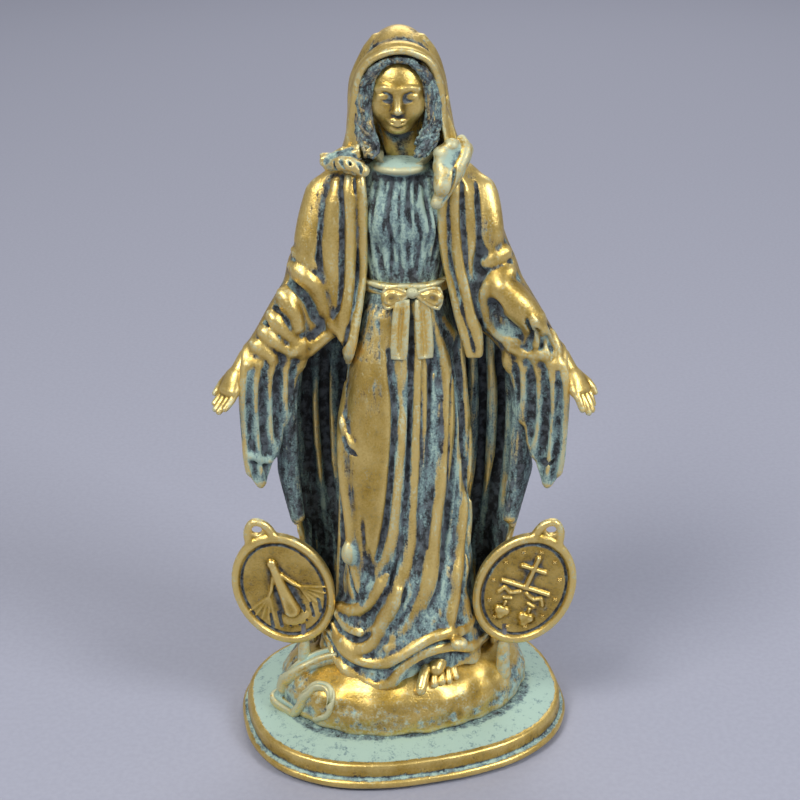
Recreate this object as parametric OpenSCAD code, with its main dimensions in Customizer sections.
// Madonna figure, cast in hollow brass sections and held together by a tie rod.
// A robed woman with open hands stands on a mound over a serpent, between two oval medals.
// Millimetres. Front is -Y, up is +Z, and Z = 0 is the underside of the felt pad.
// Right and left are as seen from the front: right is +X.

/* [Plinth] */
// Length of the plinth over its foot moulding
plinth_len = 119; // [95:1:150]
// Depth of the plinth over its foot moulding
plinth_dep = 95; // [78:1:125]
// Height of the plinth above the felt
plinth_h = 11; // [8:0.5:16]
// Turn of the plinth's long axis from the shoulder line, in degrees
plinth_turn = 14; // [0:1:20]
// Width of the moulding between the plinth's foot and its top edge
edge_w = 3.3; // [2:0.1:5]
// Width of the flat ledge around the mound
ledge_w = 10.5; // [6:0.5:14]
// Thickness of the felt pad
pad_t = 1.2; // [0.8:0.1:2.5]
// Margin of the felt inside the foot moulding
pad_margin = 2.5; // [1.5:0.5:6]

/* [Mound] */
// Height of the mound above the plinth
mound_h = 24; // [16:0.5:34]
// Thickness of the serpent's body
serpent_d = 6; // [4:0.25:8]
// Width of the bare foot across its toes
foot_w = 14; // [10:0.5:18]

/* [Robe] */
// Height of the waist above the mound's top
skirt_h = 133; // [100:1:170]
// Width of the robe at its hem
hem_w = 62; // [50:1:70]
// Depth of the robe at its hem
hem_d = 50; // [42:1:56]
// Width of the robe at knee height
knee_w = 47; // [40:1:56]
// Width of the waist
waist_w = 27; // [22:0.5:34]
// Depth of the waist
waist_d = 23; // [20:0.5:28]
// Number of pleats around the skirt
pleats = 11; // [6:1:16]
// Depth of the pleats at the hem
pleat_d = 1.6; // [0.5:0.1:2.5]

/* [Bodice and sash] */
// Height of the bodice from the waist to the neckline
bodice_h = 41; // [34:1:50]
// Width across the shoulders
shoulder_w = 44; // [38:1:54]
// Depth of the chest
chest_d = 25; // [22:0.5:30]
// Height of the sash
sash_h = 4; // [3:0.25:6]
// Thickness of the sash and its bow
sash_t = 1.4; // [1:0.1:2]
// Width of the bow over both loops
bow_w = 17; // [13:0.5:22]
// Length of the sash tails
tail_len = 20; // [12:1:35]
// Distance of the bow to the right of the body's axis
bow_shift = 2.5; // [0:0.5:4]

/* [Mantle] */
// Width of the mantle at its widest, at the level of the knees
mantle_w = 88; // [78:1:96]
// Width of the mantle at its hem
mantle_hem_w = 68; // [66:1:76]
// Distance from the body's axis to the back of the mantle
mantle_back = 27; // [26:0.5:32]
// Thickness of the mantle's edge
mantle_t = 2.5; // [1.5:0.25:3]
// Width of each front fold beside the bodice
lapel_w = 9; // [6:0.5:11]

/* [Arms] */
// Distance from the body's axis to each wrist
wrist_x = 53; // [46:1:60]
// Drop from the shoulder to the wrist
wrist_drop = 63; // [50:1:72]
// Distance of each wrist in front of the body's axis
wrist_y = 14; // [8:1:18]
// Thickness of the draped upper arm, front to back
arm_t = 19; // [15:0.5:22]
// Length of the drapery hanging below each wrist
sleeve_hang = 44; // [30:1:52]
// Length of each hand from the cuff to the fingertips
hand_len = 19; // [15:0.5:23]
// Diameter of each shoulder peg
peg_d = 4; // [3:0.25:5]

/* [Head] */
// Diameter of the neck
neck_d = 9.5; // [8:0.25:12]
// Visible length of the neck
neck_len = 13; // [9:0.5:17]
// Width of the head
head_w = 17; // [15:0.25:20]
// Height of the head from chin to crown
head_h = 24; // [20:0.25:28]
// Depth of the head
head_d = 20; // [17:0.25:24]
// Thickness of the veil
veil_t = 1.8; // [1.2:0.1:2.4]
// Room beside the head for the hair, inside the veil
veil_room = 4.5; // [3.5:0.25:6]
// Distance of the head to the left of the body's axis
head_shift = 2; // [0:0.25:3]

/* [Medals] */
// Width of each oval medal
medal_w = 34.5; // [26:0.5:38]
// Height of each oval medal
medal_h = 44; // [34:0.5:50]
// Thickness of each medal at its rim
medal_t = 3.4; // [2.5:0.1:5]
// Outward lean of each medal, in degrees
medal_lean = 20; // [10:1:28]
// Distance of each medal's middle from the body's axis
medal_x = 42; // [41:0.5:48]
// Distance of each medal in front of the body's axis
medal_front = 12; // [11:0.5:16]
// Height of each medal's foot above the mound's top
medal_rise = 2; // [0:0.5:6]
// Width of the raised rim
rim_w = 2.2; // [1.5:0.1:3.5]
// Radius of the hole in each medal's bail
bail_hole_r = 1.8; // [1:0.1:2]

/* [Casting and fixings] */
// Wall of every hollow casting
wall = 3; // [2:0.25:3.5]
// Gap between castings that meet
fit_gap = 0.15; // [0.1:0.05:0.3]
// Diameter of the tie rod
rod_d = 5; // [4:0.5:6]
// Width of the nut across its flats
nut_af = 8; // [7:0.5:10]
// Diameter of the washer under the nut
washer_d = 14; // [12:0.5:18]

/* [Hidden] */

brass = "#b98d3c";
patina = "#7fb5a8";
dark = "#4a4b4a";
felt = "#2f4a3a";
steel = "#9a9c9e";

// Heights of the levels that the castings stand on
deck_z = pad_t + plinth_h;
seat_z = deck_z + mound_h;
waist_z = seat_z + skirt_h;
neck_z = waist_z + bodice_h;
chin_z = neck_z + neck_len;
shoulder_z = neck_z - 4;

oval_power = 2.4;
mound_a = plinth_len / 2 - edge_w - ledge_w;
mound_b = plinth_dep / 2 - edge_w - ledge_w;
around = 40;
// Below 0.5 the mound is flatter on top and steeper at its foot than a dome
mound_power = 0.34;

// ---- Shape helpers ----

function signed_power(v, p) = sign(v) * pow(abs(v), p);

// An oval that is squarer than an ellipse, turned with the plinth
function plinth_ring(a, b, z, n = 72) = [for (i = [0 : n - 1])
    let (t = i * 360 / n,
        u = a * signed_power(cos(t), 2 / oval_power),
        v = b * signed_power(sin(t), 2 / oval_power))
    [u * cos(plinth_turn) - v * sin(plinth_turn), u * sin(plinth_turn) + v * cos(plinth_turn), z]];

// A closed loft through rings that all have the same number of points
module loft(rings) {
    n = len(rings[0]);
    m = len(rings);
    points = [for (r = rings) each r];
    sides = [for (j = [0 : m - 2], i = [0 : n - 1]) let (k = (i + 1) % n)
        each [[j * n + i, (j + 1) * n + i, (j + 1) * n + k], [j * n + i, (j + 1) * n + k, j * n + k]]];
    polyhedron(points, concat(sides, [[for (i = [0 : n - 1]) i]],
        [[for (i = [n - 1 : -1 : 0]) (m - 1) * n + i]]), convexity = 6);
}

// A hollow loft that is open at both ends: the outer rings go up and the inner rings come back down
module shell(outer, inner) {
    n = len(outer[0]);
    rings = concat(outer, [for (j = [len(inner) - 1 : -1 : 0]) inner[j]]);
    m = len(rings);
    polyhedron([for (r = rings) each r], [for (j = [0 : m - 1], i = [0 : n - 1])
        let (k = (i + 1) % n, q = (j + 1) % m)
        each [[j * n + i, q * n + i, q * n + k], [j * n + i, q * n + k, j * n + k]]], convexity = 6);
}

// A sheet with thickness, from two grids of points; each row of a grid runs the same way round
module slab(front, back) {
    m = len(front);
    n = len(front[0]);
    base = m * n;
    points = concat([for (r = front) each r], [for (r = back) each r]);
    faces = concat(
        [for (j = [0 : m - 2], i = [0 : n - 2]) let (a = j * n + i, b = a + n)
            each [[a, b, b + 1], [a, b + 1, a + 1]]],
        [for (j = [0 : m - 2], i = [0 : n - 2]) let (a = base + j * n + i, b = a + n)
            each [[a, b + 1, b], [a, a + 1, b + 1]]],
        [for (i = [0 : n - 2]) let (a = i) each [[a, a + 1, base + a + 1], [a, base + a + 1, base + a]]],
        [for (i = [0 : n - 2]) let (a = (m - 1) * n + i)
            each [[a, base + a + 1, a + 1], [a, base + a, base + a + 1]]],
        [for (j = [0 : m - 2]) let (a = j * n) each [[a, base + a, base + a + n], [a, base + a + n, a + n]]],
        [for (j = [0 : m - 2]) let (a = j * n + n - 1)
            each [[a, base + a + n, base + a], [a, a + n, base + a + n]]]);
    polyhedron(points, faces, convexity = 8);
}

// A chain of tapering rods through a list of points with one radius each
module chain(points, radii, facets = 10)
    for (i = [0 : len(points) - 2]) hull() {
        translate(points[i]) sphere(r = radii[i], $fn = facets);
        translate(points[i + 1]) sphere(r = radii[i + 1], $fn = facets);
    }

// One casting made of chained or cut shapes, taken as a single closed mesh
module cast_as_one() resize([0, 0, 0]) children();

// Mirrors the sub-part that is modelled for +X to the side asked for
module on_side(side) mirror([side < 0 ? 1 : 0, 0, 0]) children();

// Height of the mound's surface over a point
function mound_z(x, y) = let (
        u = x * cos(plinth_turn) + y * sin(plinth_turn),
        v = -x * sin(plinth_turn) + y * cos(plinth_turn),
        q = pow(u / mound_a, 2) + pow(v / mound_b, 2))
    deck_z + mound_h * pow(max(0, 1 - q), mound_power);

// ---- Base ----

module felt_pad()
    color(felt) linear_extrude(pad_t)
        polygon([for (p = plinth_ring(plinth_len / 2 - pad_margin, plinth_dep / 2 - pad_margin, 0)) [p.x, p.y]]);

// Foot moulding, step, band, top edge and sloping ledge, as [inset, share of the plinth's height]
plinth_profile = [[1.2, 0], [0.3, 0.05], [0, 0.13], [0.1, 0.21], [0.7, 0.27], [1.9, 0.31], [2.1, 0.37],
    [2.2, 0.66], [2.5, 0.74], [edge_w, 0.78], [edge_w + ledge_w * 0.45, 0.9], [edge_w + ledge_w * 0.9, 1]];
// The pocket under the deck stays a wall's thickness below the ledge
pocket_h = plinth_h * 0.82 - wall;

module plinth()
    color(brass) difference() {
        cast_as_one() difference() {
            loft([for (p = plinth_profile)
                plinth_ring(plinth_len / 2 - p[0], plinth_dep / 2 - p[0], pad_t + p[1] * plinth_h)]);
            translate([0, 0, pad_t - 1]) linear_extrude(pocket_h + 1)
                polygon([for (p = plinth_ring(plinth_len / 2 - edge_w - wall, plinth_dep / 2 - edge_w - wall, 0, 48))
                    [p.x, p.y]]);
        }
        cylinder(d = rod_d + 2 * fit_gap, h = deck_z + 1, $fn = 48);
    }

mound_steps = 9;
function mound_ring(scale_in, drop, j) = let (t = 90 * j / mound_steps)
    plinth_dome_ring((mound_a - scale_in) * cos(t), (mound_b - scale_in) * cos(t),
        deck_z + (mound_h - drop) * pow(sin(t), 2 * mound_power));
function plinth_dome_ring(a, b, z) = [for (i = [0 : around - 1]) let (t = i * 360 / around)
    [a * cos(t) * cos(plinth_turn) - b * sin(t) * sin(plinth_turn),
        a * cos(t) * sin(plinth_turn) + b * sin(t) * cos(plinth_turn), z]];

// The dome stops at a small flat crown, which the tie rod passes through
module mound()
    color(brass) difference() {
        loft([for (j = [0 : mound_steps - 1]) mound_ring(0, 0, j)]);
        translate([0, 0, -0.01]) loft([for (j = [0 : mound_steps - 2]) mound_ring(wall, wall, j)]);
        cylinder(d = rod_d + 2 * fit_gap, h = seat_z + 1, $fn = 48);
        for (side = [1, -1]) medal_pin_hole(side, pin_d + 2 * fit_gap);
    }

// The body comes from under the robe's hem, dips to the ledge at the left and climbs back in a hook
serpent_path = [[-24, -15.5], [-31.7, -14.8], [-36.2, -15.1], [-40.9, -14.4], [-43, -12.8], [-44.8, -11.4],
    [-46, -13.2], [-44.8, -16], [-41.5, -19.2], [-38, -22.2], [-34.6, -23.5], [-31.3, -23.8], [-27.8, -25.1],
    [-25.6, -27.4], [-26, -29.4], [-28.8, -29.2], [-31.2, -28]];

module serpent() {
    count = len(serpent_path);
    radii = [for (i = [0 : count - 1]) serpent_d / 2 * (1 - 0.65 * i / (count - 1))];
    color(patina) cast_as_one() difference() {
        chain([for (i = [0 : count - 1]) let (p = serpent_path[i])
            [p.x, p.y, mound_z(p.x, p.y) + 0.7 * radii[i]]], radii);
        mound_solid(fit_gap);
        robe_solid(fit_gap);
        cylinder(r = plinth_len / 2, h = deck_z + fit_gap);
    }
}

// The mound's outside as a solid that reaches below the deck, for cutting what lies on it
module mound_solid(grow)
    loft(concat([plinth_dome_ring(mound_a + grow, mound_b + grow, 0)],
        [for (j = [0 : mound_steps - 1]) mound_ring(-grow, -grow, j)]));

foot_at = [9, -25];

// Five toes that come out from under the hem
module foot() {
    toe_w = foot_w / 5;
    color(brass) cast_as_one() difference() {
        union() {
            for (i = [0 : 4]) let (x = foot_at.x + (i - 1.5) * toe_w, r = toe_w * (i == 0 ? 0.68 : 0.6),
                y = foot_at.y - 4 + i * 0.9)
                hull() {
                    translate([x, y, mound_z(x, y) + r]) sphere(r = r, $fn = 10);
                    translate([x, foot_at.y + 4, mound_z(x, foot_at.y + 4) + r * 0.9]) sphere(r = r, $fn = 10);
                }
            hull() for (s = [-1, 1])
                translate([foot_at.x + s * foot_w * 0.25, foot_at.y + 4,
                    mound_z(foot_at.x + s * foot_w * 0.25, foot_at.y + 4) + 1]) sphere(r = foot_w * 0.2, $fn = 12);
        }
        mound_solid(fit_gap);
        robe_solid(fit_gap);
    }
}

// ---- Robe ----

hem_y = -2;
// Half width and half depth of the robe against height, as shares of the skirt's height
skirt_levels = [0.05, 0.12, 0.22, 0.36, 0.5, 0.64, 0.78, 0.9, 1];
function skirt_half_w(s) = lookup(s, [[0, hem_w / 2], [0.12, knee_w / 2 + 1], [0.5, knee_w / 2 - 1.5],
    [0.75, (knee_w + waist_w) / 4 + 1], [1, waist_w / 2]]);
function skirt_half_d(s) = lookup(s, [[0, hem_d / 2], [0.12, hem_d / 2 - 4], [0.5, (hem_d + waist_d) / 4],
    [1, waist_d / 2]]);

function skirt_point(s, t, inset) = let (fold = pleat_d * (1 - s) * cos(pleats * t))
    [(skirt_half_w(s) + fold - inset) * cos(t), hem_y * (1 - s) + (skirt_half_d(s) + fold - inset) * sin(t)];

// The hem follows the mound; the rings above it are level
function hem_ring(inset, grow = 0) = [for (i = [0 : around - 1])
    let (p = skirt_point(0, i * 360 / around, inset)) [p.x, p.y, mound_z(p.x, p.y) + fit_gap - grow]];
function skirt_ring(s, inset) = [for (i = [0 : around - 1])
    let (p = skirt_point(s, i * 360 / around, inset)) [p.x, p.y, seat_z + s * skirt_h]];
function skirt_rings(inset, grow = 0) =
    concat([hem_ring(inset, grow)], [for (s = skirt_levels) skirt_ring(s, inset)]);

module robe_skirt()
    color(brass) shell(skirt_rings(0), skirt_rings(wall));

// The skirt's outside as a solid, for cutting what lies against it
module robe_solid(grow)
    loft(skirt_rings(-grow, 2));

bodice_levels = [0, 0.15, 0.35, 0.6, 0.8, 0.92, 1];
function bodice_half_w(s) = lookup(s, [[0, waist_w / 2], [0.35, waist_w / 2 + 1.5], [0.8, shoulder_w / 2 - 2],
    [0.92, shoulder_w / 2 - 4], [1, neck_d / 2 + 4]]);
function bodice_half_d(s) = lookup(s, [[0, waist_d / 2], [0.5, chest_d / 2], [0.8, chest_d / 2 - 1],
    [1, neck_d / 2 + 3]]);
function bodice_ring(s, grow = 0) = [for (i = [0 : around - 1]) let (t = i * 360 / around)
    [(bodice_half_w(s) + grow) * cos(t), (bodice_half_d(s) + grow) * sin(t), waist_z + s * bodice_h]];

rod_grip = 14;
spigot_r = waist_d / 2 - wall - fit_gap - 0.6;
spigot_h = 4;

// Solid bust with a spigot that drops into the skirt and a blind hole for the tie rod
module bodice()
    color(dark) difference() {
        union() {
            loft([for (s = bodice_levels) bodice_ring(s)]);
            translate([0, 0, waist_z - spigot_h]) cylinder(r = spigot_r, h = spigot_h + 1, $fn = 64);
        }
        translate([0, 0, waist_z - spigot_h - 1])
            cylinder(d = rod_d, h = rod_grip + spigot_h + 1, $fn = 48);
        translate([0, 0, neck_z - tenon_h]) cylinder(r = tenon_r + fit_gap, h = tenon_h + 1, $fn = 48);
        for (side = [1, -1]) on_side(side) shoulder_peg_hole(peg_d + 2 * fit_gap);
        mantle_pin_holes(pin_d + 2 * fit_gap);
    }

// The bodice's outside as a solid, for cutting what lies against it
module bust_solid(grow)
    loft([for (s = bodice_levels) bodice_ring(s, grow)]);

tenon_r = neck_d / 2 - 2;
tenon_h = 5;

collar_r = 1.1;
collar_ring_r = neck_d / 2 + 2.2;
// Rolled neckline resting on the bodice's top
module collar()
    color(patina) translate([0, 0, neck_z + collar_r + fit_gap])
        rotate_extrude($fn = 48) translate([collar_ring_r, 0]) circle(r = collar_r, $fn = 24);

// ---- Sash ----

sash_z = waist_z - sash_h / 2;
function sash_ring(z, grow) = [for (i = [0 : around - 1]) let (t = i * 360 / around,
        s = (z - seat_z) / skirt_h, fold = s > 1 ? 0 : pleat_d * (1 - s))
    [((s > 1 ? bodice_half_w((z - waist_z) / bodice_h) : skirt_half_w(s)) + fold + grow) * cos(t),
        ((s > 1 ? bodice_half_d((z - waist_z) / bodice_h) : skirt_half_d(s)) + fold + grow) * sin(t)
        + (s > 1 ? 0 : hem_y * (1 - s)), z]];
function sash_rings(grow) = [for (z = [sash_z, waist_z, sash_z + sash_h]) sash_ring(z, grow)];

module sash_band()
    color(patina) shell(sash_rings(fit_gap + sash_t), sash_rings(fit_gap));

bow_y = -(skirt_half_d(1) + fit_gap + sash_t);
knot_r = 1.6;
bow_loop_l = bow_w / 2 - knot_r;

module bow_knot()
    color(patina) translate([bow_shift, bow_y - fit_gap, waist_z]) rotate([90, 0, 0])
        cylinder(r = knot_r, h = sash_t + 1, $fn = 32);

// Flat trapezium loop that widens away from the knot
module bow_loop(side)
    color(brass) on_side(side) translate([side * bow_shift + knot_r + fit_gap, bow_y - fit_gap, waist_z])
        rotate([90, 0, 0]) linear_extrude(sash_t) polygon([[0, -1.2], [bow_loop_l, -3.2], [bow_loop_l, 2.4], [0, 1.2]]);

// Tail that follows the front of the skirt down from the knot
module sash_tail(side) {
    rows = 8;
    tail_w = 5;
    points = [for (j = [0 : rows - 1]) let (z = sash_z - fit_gap - j / (rows - 1) * tail_len,
            s = (z - seat_z) / skirt_h, middle = side * bow_shift + 3.2 + 1.2 * j / (rows - 1))
        [for (i = [0 : 4]) let (x = middle + (i - 2) / 4 * tail_w,
                half_w = skirt_half_w(s) + pleat_d, half_d = skirt_half_d(s) + pleat_d)
            [x, hem_y * (1 - s) - half_d * sqrt(1 - pow(x / half_w, 2)) - fit_gap, z]]];
    color(brass) on_side(side)
        slab([for (r = points) [for (p = r) p - [0, sash_t, 0]]], points);
}

// ---- Mantle ----

mantle_levels = [0, 0.1, 0.22, 0.38, 0.5, 0.6, 0.7, 0.8, 0.9, 1];
mantle_cols = 28;
mantle_ruck = 1.2;

// Half width, half depth and angle of the front edge, by share of the way from the hem to the shoulders
function mantle_half_w(s) = lookup(s, [[0, mantle_hem_w / 2], [0.2, mantle_hem_w / 2 + 3], [0.38, mantle_w / 2],
    [0.55, mantle_w / 2 - 3], [0.7, (mantle_w + shoulder_w) / 4 + 1], [1, shoulder_w / 2 + mantle_t]]);
function mantle_half_d(s) = lookup(s, [[0, mantle_back], [0.5, mantle_back - 2], [0.8, mantle_back - 6],
    [1, chest_d / 2 + mantle_t + 1]]);
function mantle_edge(s) = lookup(s, [[0, -14], [0.45, -12], [0.55, 0], [0.7, 25], [1, 30]]);
function mantle_z(s, x, y) = s == 0 ? mound_z(x, y) + fit_gap : seat_z + s * (shoulder_z - seat_z);

// Point on the mantle, from the left front edge (u = 0) round the back to the right one (u = 1)
function mantle_point(s, u, inset) = let (
        t = mantle_edge(s) + (180 - 2 * mantle_edge(s)) * u,
        ruck = mantle_ruck * (1 - 0.7 * s) * cos(9 * t),
        x = (mantle_half_w(s) + ruck - inset) * cos(t),
        y = (mantle_half_d(s) + ruck - inset) * sin(t))
    [x, y, mantle_z(s, x, y)];
function mantle_grid(inset) = [for (s = mantle_levels)
    [for (i = [0 : mantle_cols]) mantle_point(s, i / mantle_cols, inset)]];

// Dowels that hold the mantle to the bodice's back
mantle_pin_x = 8;
mantle_pin_z = shoulder_z - 14;
mantle_pin_from = 5;
mantle_pin_to = chest_d / 2 + mantle_t + 1.5;

module mantle_pin_holes(d)
    for (x = [-mantle_pin_x, mantle_pin_x]) translate([x, mantle_pin_from, mantle_pin_z]) rotate([-90, 0, 0])
        cylinder(d = d, h = 30, $fn = 32);

module mantle()
    color(dark) difference() {
        cast_as_one() difference() {
            slab(mantle_grid(0), mantle_grid(mantle_t));
            for (side = [1, -1]) on_side(side) sleeve_solid(fit_gap);
        }
        mantle_pin_holes(pin_d + 2 * fit_gap);
    }

module mantle_pins()
    color(steel) for (x = [-mantle_pin_x, mantle_pin_x])
        translate([x, mantle_pin_from + fit_gap, mantle_pin_z]) rotate([-90, 0, 0])
            cylinder(d = pin_d, h = mantle_pin_to - mantle_pin_from, $fn = 32);

// Front fold that hangs from the shoulder beside the bodice and ends over the skirt
lapel_rows = 13;
lapel_below = 26;
// Share of the width at a share of the way down: narrowest where the bow lies beside it
lapel_narrowing = [[0, 1], [0.35, 0.85], [0.58, 0.6], [0.75, 0.62], [1, 0.75]];
function lapel_row(j, lift) = let (
        z = shoulder_z - j / (lapel_rows - 1) * (shoulder_z - waist_z + lapel_below),
        up = z > waist_z,
        s = up ? (z - waist_z) / bodice_h : (z - seat_z) / skirt_h,
        fold = up ? 0 : pleat_d * (1 - s),
        over_sash = z > sash_z + sash_h ? 0 : sash_t + fit_gap,
        half_w = (up ? bodice_half_w(s) : skirt_half_w(s)) + fold + lift + over_sash,
        half_d = (up ? bodice_half_d(s) : skirt_half_d(s)) + fold + lift + over_sash,
        width = lapel_w * lookup(j / (lapel_rows - 1), lapel_narrowing),
        inner = min(half_w * 0.98, sleeve_in - fit_gap) - width)
    [for (i = [0 : 4]) let (x = inner + i / 4 * width)
        [x, (up ? 0 : hem_y * (1 - s)) - half_d * sqrt(1 - pow(x / half_w, 2)), z]];

module lapel(side)
    color(brass) on_side(side) slab([for (j = [0 : lapel_rows - 1]) lapel_row(j, mantle_t)],
        [for (j = [0 : lapel_rows - 1]) lapel_row(j, 2 * fit_gap)]);

// ---- Arms ----

sleeve_in = shoulder_w / 2 - 2 + 2 * fit_gap;
sleeve_levels = [0, 0.12, 0.22, 0.36, 0.48, 0.6, 0.72, 0.85, 0.93, 1];
sleeve_rows = [0, 0.03, 0.1, 0.2, 0.32, 0.46, 0.6, 0.76, 0.9, 1];
tenon_d = 6.4;

// The drapery keeps its share of the height between the wrists and the tops of the medals;
// sleeve_hang is its length where that height is drawn_room
drawn_room = 57.0;
function drapery_len() = sleeve_hang * (shoulder_z - wrist_drop - medal_top()) / drawn_room;

// Top and bottom of the sleeve, by share of the way out from the shoulder to the cuff
function sleeve_top(u) = shoulder_z - wrist_drop * lookup(u, [[0, 0], [0.12, 0.04], [0.21, 0.115], [0.36, 0.372],
    [0.48, 0.492], [0.7, 0.667], [0.91, 0.857], [1, 0.89]]);
function sleeve_low(u) = shoulder_z - wrist_drop * lookup(u, [[0, 0.8], [0.3, 0.9], [0.48, 1], [1, 1.05]])
    - drapery_len() * lookup(u, [[0.35, 0], [0.48, 0.2], [0.67, 0.66], [0.85, 1], [1, 0.8]]);
function sleeve_y(u) = -1 - (wrist_y - 1) * u;
function sleeve_half_t(u) = arm_t / 2 * lookup(u, [[0, 1], [0.5, 0.9], [1, 0.68]]);

// Share of the half thickness at a share of the way down: round at the arm, thin where it hangs
function sleeve_swell(v, u) = let (hung = lookup(u, [[0.3, 0], [0.7, 1]]))
    (1 - hung) * lookup(v, [[0, 0.3], [0.1, 0.7], [0.3, 1], [0.7, 1], [0.92, 0.7], [1, 0.4]])
    + hung * lookup(v, [[0, 0.3], [0.06, 0.7], [0.15, 1], [0.3, 0.9], [0.5, 0.5], [0.8, 0.32], [1, 0.22]]);

// Upright section of the sleeve: down its front and up its back
function sleeve_ring(u, grow) = let (
        x = sleeve_in + u * (wrist_x - sleeve_in) + (u == 0 ? -grow : u == 1 ? grow : 0),
        top = sleeve_top(u) + grow, low = sleeve_low(u) - grow)
    concat([for (v = sleeve_rows) [x, sleeve_y(u) - sleeve_half_t(u) * sleeve_swell(v, u) - grow,
            top + v * (low - top)]],
        [for (i = [len(sleeve_rows) - 1 : -1 : 0]) let (v = sleeve_rows[i])
            [x, sleeve_y(u) + sleeve_half_t(u) * sleeve_swell(v, u) + grow, top + v * (low - top)]]);

module sleeve_solid(grow)
    loft([for (u = sleeve_levels) sleeve_ring(u, grow)]);

shoulder_peg_z = shoulder_z - 14;
shoulder_peg_l = 16;
module shoulder_peg_hole(d)
    translate([sleeve_in - shoulder_peg_l / 2, -1, shoulder_peg_z]) rotate([0, 90, 0])
        cylinder(d = d, h = shoulder_peg_l, $fn = 32);

module sleeve(side)
    color(brass) on_side(side) difference() {
        cast_as_one() sleeve_solid(0);
        shoulder_peg_hole(peg_d + 2 * fit_gap);
        translate(wrist_at) rotate(wrist_turn) translate([0, 0, -tenon_l - fit_gap])
            cylinder(d = tenon_d + 2 * fit_gap, h = tenon_l + 12, $fn = 48);
    }

module shoulder_pegs()
    color(steel) for (side = [1, -1]) on_side(side)
        translate([sleeve_in - shoulder_peg_l / 2 + fit_gap, -1, shoulder_peg_z]) rotate([0, 90, 0])
            cylinder(d = peg_d, h = shoulder_peg_l - 2 * fit_gap, $fn = 32);

// The hand's axis runs out, forward and down from the middle of the cuff
wrist_at = [wrist_x, -wrist_y, shoulder_z - wrist_drop];
hand_way = let (d = [0.46, -0.5, -0.73]) d / norm(d);
wrist_turn = [0, acos(hand_way.z), atan2(hand_way.y, hand_way.x)];
tenon_l = 5;
finger_d = 2.3;

// Open hand with a round tenon; local +Z runs to the fingertips and local Y across the palm
module hand(side)
    color(brass) on_side(side) cast_as_one() difference() {
        translate(wrist_at) rotate(wrist_turn) {
            palm = hand_len * 0.5;
            translate([0, 0, -tenon_l]) cylinder(d = tenon_d, h = tenon_l + palm * 0.5, $fn = 32);
            hull() {
                translate([0, 0, palm * 0.35]) scale([0.7, 1, 1]) sphere(d = tenon_d, $fn = 12);
                translate([0, 0, palm]) scale([0.5, 1.5, 0.6]) sphere(d = tenon_d, $fn = 12);
            }
            for (i = [0 : 3]) let (y = (i - 1.5) * 0.95 * finger_d, reach = hand_len * (1 - 0.06 * abs(i - 1.4)))
                chain([[0, y, palm], [-0.4, y * 1.05, (palm + reach) / 2], [0, y * 1.1, reach - finger_d / 2]],
                    finger_d / 2 * [1, 0.9, 0.7], 8);
            chain([[0, -2.6, palm * 0.45], [-0.8, -5.2, palm * 0.85], [-0.6, -6, palm * 1.3]],
                finger_d / 2 * [1.2, 1, 0.75], 8);
        }
        difference() {
            sleeve_solid(0);
            translate(wrist_at) rotate(wrist_turn) translate([0, 0, -tenon_l - fit_gap])
                cylinder(d = tenon_d + fit_gap, h = 30, $fn = 48);
        }
    }

// ---- Head ----

head_at = [-head_shift, -2, chin_z + head_h / 2];

// Neck with a tenon at each end
module neck()
    color(brass) union() {
        translate([0, 0, neck_z + fit_gap]) cylinder(d = neck_d, h = neck_len + 3 - fit_gap, $fn = 64);
        translate([0, 0, neck_z - tenon_h + fit_gap]) cylinder(r = tenon_r, h = neck_len + 2 * tenon_h, $fn = 48);
    }

module head_solid(grow)
    translate(head_at) scale([(head_w + 2 * grow) / head_h, (head_d + 2 * grow) / head_h, 1])
        sphere(d = head_h + 2 * grow, $fn = 64);

module head()
    color(brass) difference() {
        head_solid(0);
        translate([0, 0, neck_z]) cylinder(d = neck_d + 2 * fit_gap, h = neck_len + 3 + fit_gap, $fn = 64);
        translate([0, 0, neck_z]) cylinder(r = tenon_r + fit_gap, h = neck_len + tenon_h + 1, $fn = 48);
    }

veil_levels = [0, 0.1, 0.22, 0.35, 0.5, 0.65, 0.78, 0.88, 0.95, 1];
veil_bottom = shoulder_z + fit_gap;
veil_top = chin_z + head_h + 0.4 + veil_t;
veil_half = head_w / 2 + veil_room;
function veil_half_w(s) = lookup(s, [[0, shoulder_w / 2 + 1], [0.1, shoulder_w / 2 - 2], [0.22, veil_half + 5],
    [0.5, veil_half + 2.5], [0.65, veil_half + 1.4], [0.78, veil_half - 0.6], [0.88, veil_half - 3.2],
    [0.95, veil_half - 6.4], [1, 2.2]]) + veil_t - 1.8;
function veil_half_d(s) = lookup(s, [[0, chest_d / 2 + 3], [0.22, head_d / 2 + 4], [0.65, head_d / 2 + 3.6],
    [0.78, head_d / 2 + 2.4], [0.88, head_d / 2 - 0.6], [0.95, head_d / 2 - 4], [1, 1.2]]) + veil_t - 1.8;
function veil_ring(s, inset) = [for (i = [0 : around - 1]) let (t = i * 360 / around)
    [-head_shift * min(1, 2 * s) + (veil_half_w(s) - inset) * cos(t),
        head_at.y + 1 + (max(veil_half_d(s), inset + 1) - inset) * sin(t),
        veil_bottom + s * (veil_top - veil_bottom)]];

// Outline of the face opening, an arch that widens to the shoulders
module veil_mouth() {
    arch = veil_half - 1.6;
    top = head_at.z + head_h * 0.36;
    polygon(concat([for (i = [0 : 18]) let (t = i * 10)
            [-head_shift + arch * cos(t), top - arch + 1.15 * arch * sin(t)]],
        [[-head_shift - arch, head_at.z - 4], [-arch - 3, veil_bottom - 2], [arch + 3, veil_bottom - 2],
            [-head_shift + arch, head_at.z - 4]]));
}

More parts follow.
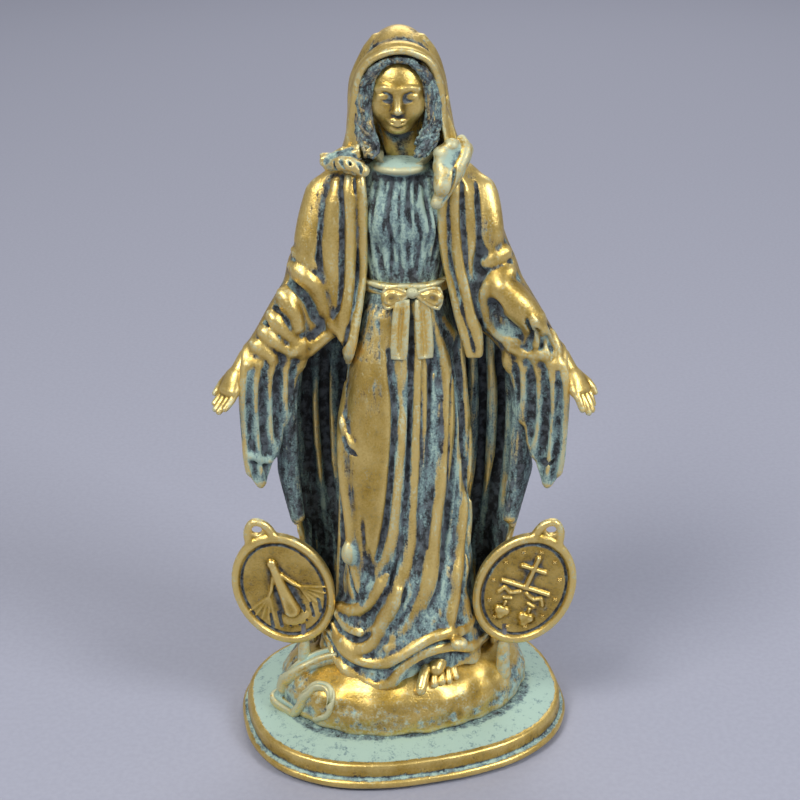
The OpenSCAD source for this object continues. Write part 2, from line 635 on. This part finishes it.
module veil_shape()
    difference() {
        loft([for (s = veil_levels) veil_ring(s, 0)]);
        translate([0, 0, -veil_t]) loft([for (s = veil_levels) veil_ring(s, min(veil_t, veil_half_w(s) - 0.4))]);
        translate([0, 0, -veil_t]) linear_extrude(veil_t + 1) square(2 * shoulder_w, center = true);
        translate([0, head_at.y - 1.5, 0]) rotate([90, 0, 0]) linear_extrude(2 * head_d) veil_mouth();
        bust_solid(fit_gap);
    }

module veil()
    color(brass) cast_as_one() veil_shape();

// Gathered end of the veil that crosses the right shoulder in front
module veil_end()
    color(patina) cast_as_one() difference() {
        chain([for (i = [0 : 8]) let (t = i / 8)
            [shoulder_w / 2 - 3 - 9 * t, -5 - 11 * sqrt(t), shoulder_z + 7 - 14 * t]],
            [for (i = [0 : 8]) 3.2 - 1.6 * abs(i / 8 - 0.35)], 10);
        resting_on();
    }

// Rolled edge of the veil on the left shoulder
module veil_roll()
    color(dark) cast_as_one() difference() {
        chain([for (i = [0 : 5]) let (t = i / 5)
            [-shoulder_w / 2 - 1.5 + 11 * t, -9 - 6.5 * sin(90 * t), shoulder_z + 3 + 2 * sin(180 * t)]],
            [for (i = [0 : 5]) 2.6 - 1.2 * abs(i / 5 - 0.5)], 10);
        resting_on();
    }

// Everything that the loose folds on the shoulders lie against
module resting_on() {
    bust_solid(fit_gap);
    veil_shape();
    for (side = [1, -1]) on_side(side) {
        sleeve_solid(fit_gap);
        slab([for (j = [0 : lapel_rows - 1]) lapel_row(j, mantle_t + fit_gap)],
            [for (j = [0 : lapel_rows - 1]) lapel_row(j, 0)]);
    }
}

// Wavy hair that frames the face and falls to the shoulder inside the veil
module hair(side)
    color(dark) cast_as_one() difference() {
        translate([head_at.x, head_at.y, 0]) on_side(side)
            chain([for (i = [0 : 10]) let (t = i / 10, turn = 25 + 80 * min(1, 2 * t), fall = max(0, 2 * t - 1))
                [(head_w / 2 + 1.2) * sin(turn) + 0.5 * sin(900 * t) + 0.8 * fall, -5.5 - 0.8 * cos(760 * t) + fall,
                    head_at.z + head_h / 2 * cos(turn) - fall * (head_h * 0.42)]],
                [for (i = [0 : 10]) 1.5 + 0.08 * i], 10);
        head_solid(fit_gap);
        bust_solid(fit_gap);
        veil_shape();
        translate([0, 0, neck_z - 1]) cylinder(r = collar_ring_r + collar_r + fit_gap, h = 2 * collar_r + 2, $fn = 32);
    }

// ---- Medals ----

medal_foot_z = seat_z + medal_rise;
medal_z = medal_foot_z + medal_h / 2 * cos(medal_lean);
stem_x = medal_x - medal_h / 2 * sin(medal_lean) + 1;
bail_r = bail_hole_r + 2.6;
bail_up = medal_h / 2 + bail_hole_r + 0.6;
recess = 0.9;
pin_d = 3;
pin_up = 7;
relief_w = 2.4;
stem_r = pin_d / 2 + 1;
function medal_top() = medal_z + bail_up * cos(medal_lean) + bail_r;
// The stem starts a little below the mound's surface and is cut to fit it
function stem_bottom(side) = mound_z(side * stem_x, -medal_front) - stem_r;

module place_medal(side)
    translate([side * medal_x, -medal_front, medal_z]) rotate([90, 0, 0]) rotate([0, 0, -side * medal_lean])
        children();

module oval_disc(w, h, t)
    scale([w / h, 1, 1]) cylinder(d = h, h = t, center = true, $fn = 96);

module medal_pin_hole(side, d)
    translate([side * stem_x, -medal_front, 0]) cylinder(d = d, h = medal_foot_z + pin_up, $fn = 32);

// Oval medal with a raised rim, a plain cross on a bar, a bail with a hole, and a stem on the mound
module medal(side)
    color(brass) difference() {
        union() {
            place_medal(side) difference() {
                union() {
                    difference() {
                        oval_disc(medal_w, medal_h, medal_t);
                        translate([0, 0, medal_t / 2])
                            oval_disc(medal_w - 2 * rim_w, medal_h - 2 * rim_w, 2 * recess);
                    }
                    translate([0, bail_up, 0]) cylinder(r = bail_r, h = medal_t - 0.4, center = true, $fn = 64);
                    translate([0, 2, medal_t / 2 - recess / 2 - 0.1])
                        cube([relief_w, medal_h * 0.42, recess], center = true);
                    translate([0, 6, medal_t / 2 - recess / 2 - 0.1])
                        cube([medal_w * 0.34, relief_w, recess], center = true);
                }
                translate([0, bail_up + 0.6, 0])
                    cylinder(r = bail_hole_r, h = medal_t + 2, center = true, $fn = 48);
            }
            difference() {
                translate([side * stem_x, -medal_front, stem_bottom(side)])
                    cylinder(r1 = stem_r + 0.4, r2 = stem_r, h = medal_foot_z + 4 - stem_bottom(side), $fn = 48);
                mound_solid(fit_gap);
            }
        }
        medal_pin_hole(side, pin_d + 2 * fit_gap);
    }

// Pins that hold the medals' stems to the mound
module medal_pins()
    color(steel) for (side = [1, -1]) translate([side * stem_x, -medal_front, deck_z + fit_gap])
        cylinder(d = pin_d, h = medal_foot_z + pin_up - deck_z - 2 * fit_gap, $fn = 32);

// ---- Fixings ----

nut_h = 4;
washer_t = 1;
washer_z = pad_t + pocket_h - washer_t - fit_gap;
rod_bottom = washer_z - nut_h;

module tie_rod()
    color(steel) translate([0, 0, rod_bottom])
        cylinder(d = rod_d - 2 * fit_gap, h = waist_z + rod_grip - spigot_h - 1 - rod_bottom, $fn = 48);

module washer()
    color(steel) translate([0, 0, washer_z]) difference() {
        cylinder(d = washer_d, h = washer_t, $fn = 64);
        translate([0, 0, -1]) cylinder(d = rod_d + 2 * fit_gap, h = washer_t + 2, $fn = 48);
    }

module nut()
    color(steel) translate([0, 0, washer_z - nut_h]) difference() {
        cylinder(d = nut_af / cos(30), h = nut_h, $fn = 6);
        translate([0, 0, -1]) cylinder(d = rod_d - 2 * fit_gap + 0.05, h = nut_h + 2, $fn = 48);
    }

felt_pad();
plinth();
mound();
serpent();
foot();
robe_skirt();
bodice();
collar();
sash_band();
bow_knot();
bow_loop(1);  // bow_loop_right
bow_loop(-1);  // bow_loop_left
sash_tail(1);  // sash_tail_right
sash_tail(-1);  // sash_tail_left
mantle();
lapel(1);  // lapel_right
lapel(-1);  // lapel_left
sleeve(1);  // sleeve_right
sleeve(-1);  // sleeve_left
hand(1);  // hand_right
hand(-1);  // hand_left
neck();
head();
hair(1);  // hair_right
hair(-1);  // hair_left
veil();
veil_end();
veil_roll();
medal(1);  // medal_right
medal(-1);  // medal_left
medal_pins();
shoulder_pegs();
mantle_pins();
tie_rod();
washer();
nut();
